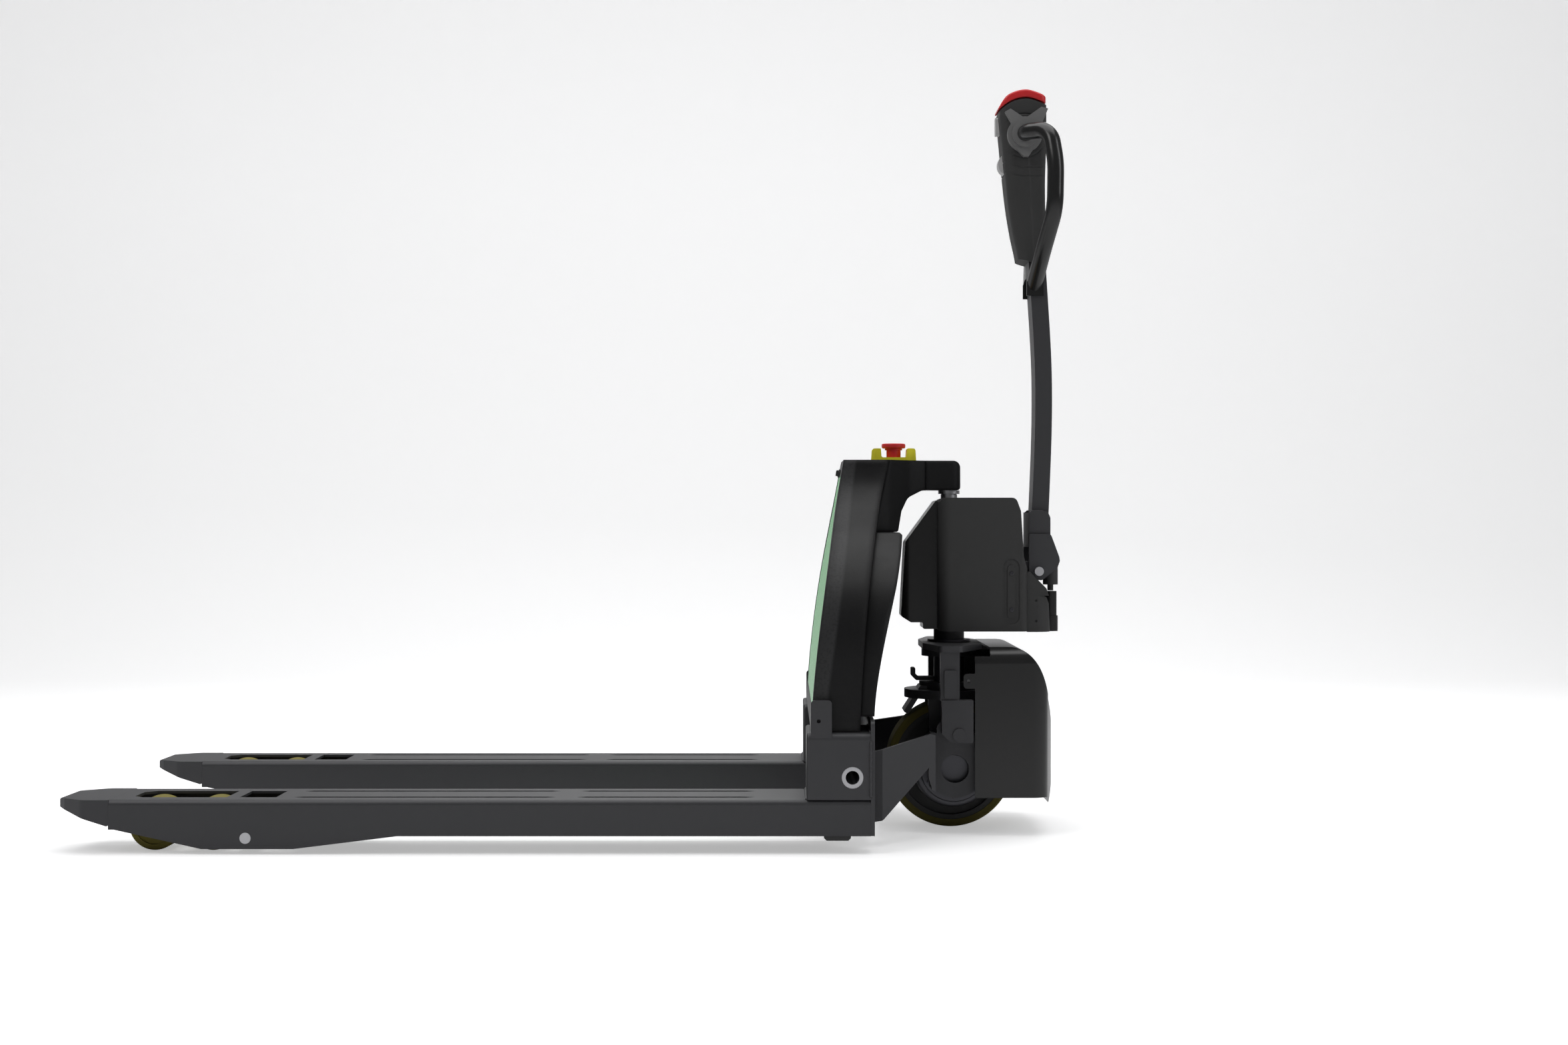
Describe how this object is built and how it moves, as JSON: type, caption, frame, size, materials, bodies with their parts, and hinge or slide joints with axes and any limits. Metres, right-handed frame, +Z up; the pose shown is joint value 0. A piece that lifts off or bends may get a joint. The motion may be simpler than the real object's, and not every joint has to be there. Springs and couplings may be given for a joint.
{
  "type": "electric pallet truck",
  "caption": "Walk-behind electric pallet truck with twin forks, battery mast, steered drive wheel under a dome, and a tilting tiller with a loop handle.",
  "frame": {"origin": "on the floor under the middle of the truck's bounding box", "axes": "+Z up, forks point to -X, tiller at +X, Y across with the driver's left at -Y"},
  "size_m": [1.5756, 0.686, 1.2266],
  "materials": {
    "charcoal_paint": "satin textured paint",
    "grey_cast": "painted casting",
    "black_plastic": "fine moulded grain",
    "black_gloss": "glossy",
    "green_gloss": "glossy",
    "battery_case": "moulded",
    "bright_steel": "ground",
    "zinc_steel": "zinc plated",
    "yellow_plastic": "moulded",
    "red_plastic": "satin",
    "grey_plastic": "moulded",
    "light_plastic": "moulded",
    "motor_alloy": "black anodised casting",
    "wheel_iron": "painted",
    "olive_tyre": "moulded polyurethane",
    "olive_roller": "moulded polyurethane"
  },
  "bodies": {
    "chassis": {"fork_left": "charcoal_paint", "fork_right": "charcoal_paint", "fork_tip_left": "grey_cast", "fork_tip_right": "grey_cast", "heel_box_left": "charcoal_paint", "heel_box_right": "charcoal_paint", "rear_plate": "charcoal_paint", "heel_pads": "black_plastic", "rocker_shaft": "bright_steel", "yoke_pins": "bright_steel", "mast_body": "charcoal_paint", "front_panel": "green_gloss", "battery_pack": "battery_case", "battery_lid": "black_plastic", "neck_arm": "charcoal_paint", "neck_cap": "black_plastic", "piston_rod": "bright_steel", "estop_guard": "yellow_plastic"},
    "carriage": {"carriage_frame": "charcoal_paint", "steering_bearing": "bright_steel", "trunnion_pins": "bright_steel", "drive_shroud": "black_gloss"},
    "drive_unit": {"wheel_bracket": "charcoal_paint", "wheel_axle": "bright_steel", "drive_motor": "motor_alloy", "motor_cap": "motor_alloy", "lift_cylinder": "charcoal_paint", "pump_motor": "motor_alloy", "housing_shell": "black_plastic", "housing_rear_cover": "black_plastic", "housing_front_cover": "black_gloss", "tiller_lug": "charcoal_paint", "tiller_pin": "bright_steel", "gas_spring_tube": "black_gloss", "cable_clip": "black_plastic"},
    "drive_wheel": {"drive_rim": "wheel_iron", "drive_tyre": "olive_tyre"},
    "tiller": {"tiller_bracket": "charcoal_paint", "tiller_tube": "charcoal_paint", "head_shell": "black_plastic", "handle_loop": "black_gloss"},
    "gas_rod": {"gas_spring_rod": "bright_steel"},
    "throttle": {"throttle_wings": "grey_plastic"},
    "belly_switch": {"belly_button": "red_plastic"},
    "horn": {"horn_button": "light_plastic"},
    "lift_rocker_switch": {"lift_switch": "light_plastic"},
    "stop_switch": {"estop_button": "red_plastic"},
    "key_switch": {"key_knob": "black_plastic"},
    "lift_rocker": {"rocker": "charcoal_paint"},
    "push_left": {"push_rod_left": "zinc_steel"},
    "yoke_left": {"yoke_left": "zinc_steel"},
    "bogie_left": {"bogie_left": "zinc_steel"},
    "front_wheel_left": {"front_roller_left": "olive_roller"},
    "rear_wheel_left": {"rear_roller_left": "olive_roller"},
    "push_right": {"push_rod_right": "zinc_steel"},
    "yoke_right": {"yoke_right": "zinc_steel"},
    "bogie_right": {"bogie_right": "zinc_steel"},
    "front_wheel_right": {"front_roller_right": "olive_roller"},
    "rear_wheel_right": {"rear_roller_right": "olive_roller"}
  },
  "joints": [
    {"name": "lift", "type": "slide", "parent": "chassis", "child": "carriage", "axis": [0, 0, -1], "range_m": [0, 0.115]},
    {"name": "steer", "type": "hinge", "parent": "carriage", "child": "drive_unit", "pos_m": [0.60475, 0, 0.302], "axis": [0, 0, 1], "range_deg": [-80, 80]},
    {"name": "drive_spin", "type": "hinge", "parent": "drive_unit", "child": "drive_wheel", "pos_m": [0.60475, 0, 0.105], "axis": [0, 1, 0], "continuous": true},
    {"name": "tiller_tilt", "type": "hinge", "parent": "drive_unit", "child": "tiller", "pos_m": [0.75075, 0, 0.425], "axis": [0, 1, 0], "range_deg": [0, 75], "stiffness_Nm_per_rad": 45, "springref_deg": -28.65},
    {"name": "gas_slide", "type": "slide", "parent": "drive_unit", "child": "gas_rod", "axis": [0, 0, -1], "range_m": [0, 0.0392]},
    {"name": "throttle_turn", "type": "hinge", "parent": "tiller", "child": "throttle", "pos_m": [0.72675, 0, 1.149], "axis": [0, 1, 0], "range_deg": [-30, 30], "stiffness_Nm_per_rad": 1.5},
    {"name": "belly_press", "type": "slide", "parent": "tiller", "child": "belly_switch", "axis": [0, 0, -1], "range_m": [0, 0.003], "stiffness_N_per_m": 3000, "springref_m": -0.002},
    {"name": "horn_press", "type": "slide", "parent": "tiller", "child": "horn", "axis": [1, 0, 0], "range_m": [0, 0.0025], "stiffness_N_per_m": 600, "springref_m": -0.001},
    {"name": "lift_switch_rock", "type": "hinge", "parent": "tiller", "child": "lift_rocker_switch", "pos_m": [0.70525, 0, 1.106], "axis": [0, 1, 0], "range_deg": [-9, 9], "stiffness_Nm_per_rad": 1},
    {"name": "stop_press", "type": "slide", "parent": "chassis", "child": "stop_switch", "axis": [0, 0, -1], "range_m": [0, 0.005], "stiffness_N_per_m": 2500, "springref_m": -0.001},
    {"name": "key_turn", "type": "hinge", "parent": "chassis", "child": "key_switch", "pos_m": [0.42175, 0, 0.588], "axis": [-0.9863, 0, 0.165], "range_deg": [0, 90]},
    {"name": "rocker_swing", "type": "hinge", "parent": "chassis", "child": "lift_rocker", "pos_m": [0.43225, 0, 0.117], "axis": [0, 1, 0], "range_deg": [0, 36.87]},
    {"name": "push_left", "type": "slide", "parent": "chassis", "child": "push_left", "axis": [-1, 0, 0], "range_m": [0, 0.04318]},
    {"name": "yoke_left", "type": "hinge", "parent": "chassis", "child": "yoke_left", "pos_m": [-0.49325, -0.2675, 0.025], "axis": [0, -1, 0], "range_deg": [0, 77.44]},
    {"name": "bogie_left", "type": "hinge", "parent": "yoke_left", "child": "bogie_left", "pos_m": [-0.59925, -0.2675, 0.04], "axis": [0, 1, 0], "range_deg": [0, 77.44]},
    {"name": "front_wheel_left_spin", "type": "hinge", "parent": "bogie_left", "child": "front_wheel_left", "pos_m": [-0.64425, -0.2675, 0.04], "axis": [0, 1, 0], "continuous": true},
    {"name": "rear_wheel_left_spin", "type": "hinge", "parent": "bogie_left", "child": "rear_wheel_left", "pos_m": [-0.55425, -0.2675, 0.04], "axis": [0, 1, 0], "continuous": true},
    {"name": "push_right", "type": "slide", "parent": "chassis", "child": "push_right", "axis": [-1, 0, 0], "range_m": [0, 0.04318]},
    {"name": "yoke_right", "type": "hinge", "parent": "chassis", "child": "yoke_right", "pos_m": [-0.49325, 0.2675, 0.025], "axis": [0, -1, 0], "range_deg": [0, 77.44]},
    {"name": "bogie_right", "type": "hinge", "parent": "yoke_right", "child": "bogie_right", "pos_m": [-0.59925, 0.2675, 0.04], "axis": [0, 1, 0], "range_deg": [0, 77.44]},
    {"name": "front_wheel_right_spin", "type": "hinge", "parent": "bogie_right", "child": "front_wheel_right", "pos_m": [-0.64425, 0.2675, 0.04], "axis": [0, 1, 0], "continuous": true},
    {"name": "rear_wheel_right_spin", "type": "hinge", "parent": "bogie_right", "child": "rear_wheel_right", "pos_m": [-0.55425, 0.2675, 0.04], "axis": [0, 1, 0], "continuous": true}
  ],
  "couplings": [
    {"joint": "gas_slide", "follows": "tiller_tilt", "m_per_rad": 0.029794},
    {"joint": "rocker_swing", "follows": "lift", "rad_per_m": 5.5497},
    {"joint": "push_left", "follows": "lift", "ratio": 0.37377},
    {"joint": "yoke_left", "follows": "lift", "rad_per_m": 11.707},
    {"joint": "bogie_left", "follows": "lift", "rad_per_m": 11.707},
    {"joint": "push_right", "follows": "lift", "ratio": 0.37377},
    {"joint": "yoke_right", "follows": "lift", "rad_per_m": 11.707},
    {"joint": "bogie_right", "follows": "lift", "rad_per_m": 11.707}
  ]
}
